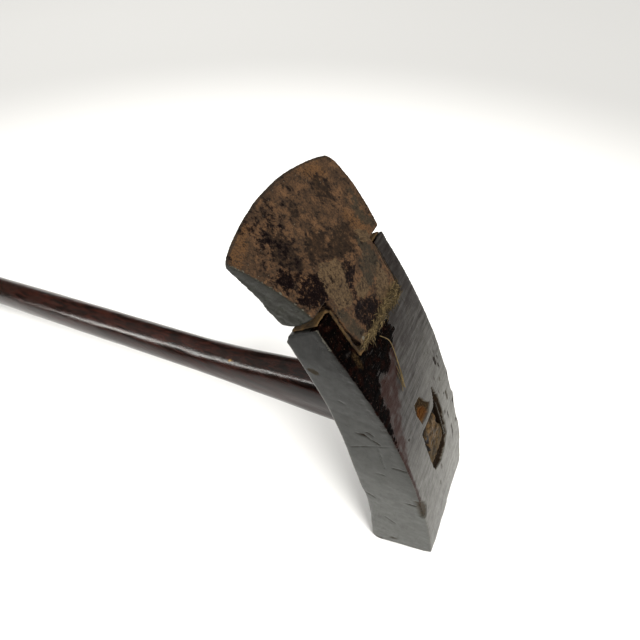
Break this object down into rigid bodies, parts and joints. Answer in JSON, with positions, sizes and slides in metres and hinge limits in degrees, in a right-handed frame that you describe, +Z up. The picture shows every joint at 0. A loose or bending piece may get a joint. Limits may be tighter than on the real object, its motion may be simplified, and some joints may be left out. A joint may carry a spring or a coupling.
{
  "type": "adze",
  "caption": "Hand adze: a flared iron blade with a tang let into the notched front of a curved wooden head block, on a wedged through-tenoned round wooden handle.",
  "frame": {"origin": "bottom centre of the whole tool's box, on the surface that the tool lies on", "axes": "+X from the handle's end towards the head's butt, +Y across the head, +Z up; the tool lies on the rounded back edge of its butt and on the end of its handle, with the blade uppermost"},
  "size_m": [0.5744, 0.094, 0.246],
  "materials": {
    "head_wood": "satin lacquered, dark, worn",
    "blade_iron": "rough, rusted",
    "packing_fibre": "matt plant fibre",
    "handle_wood": "gloss lacquered, worn",
    "wedge_wood": "matt end grain"
  },
  "bodies": {
    "root": {"head_block": "head_wood", "blade": "blade_iron", "tang_packing": "packing_fibre", "handle": "handle_wood", "handle_wedge": "wedge_wood"}
  },
  "joints": []
}
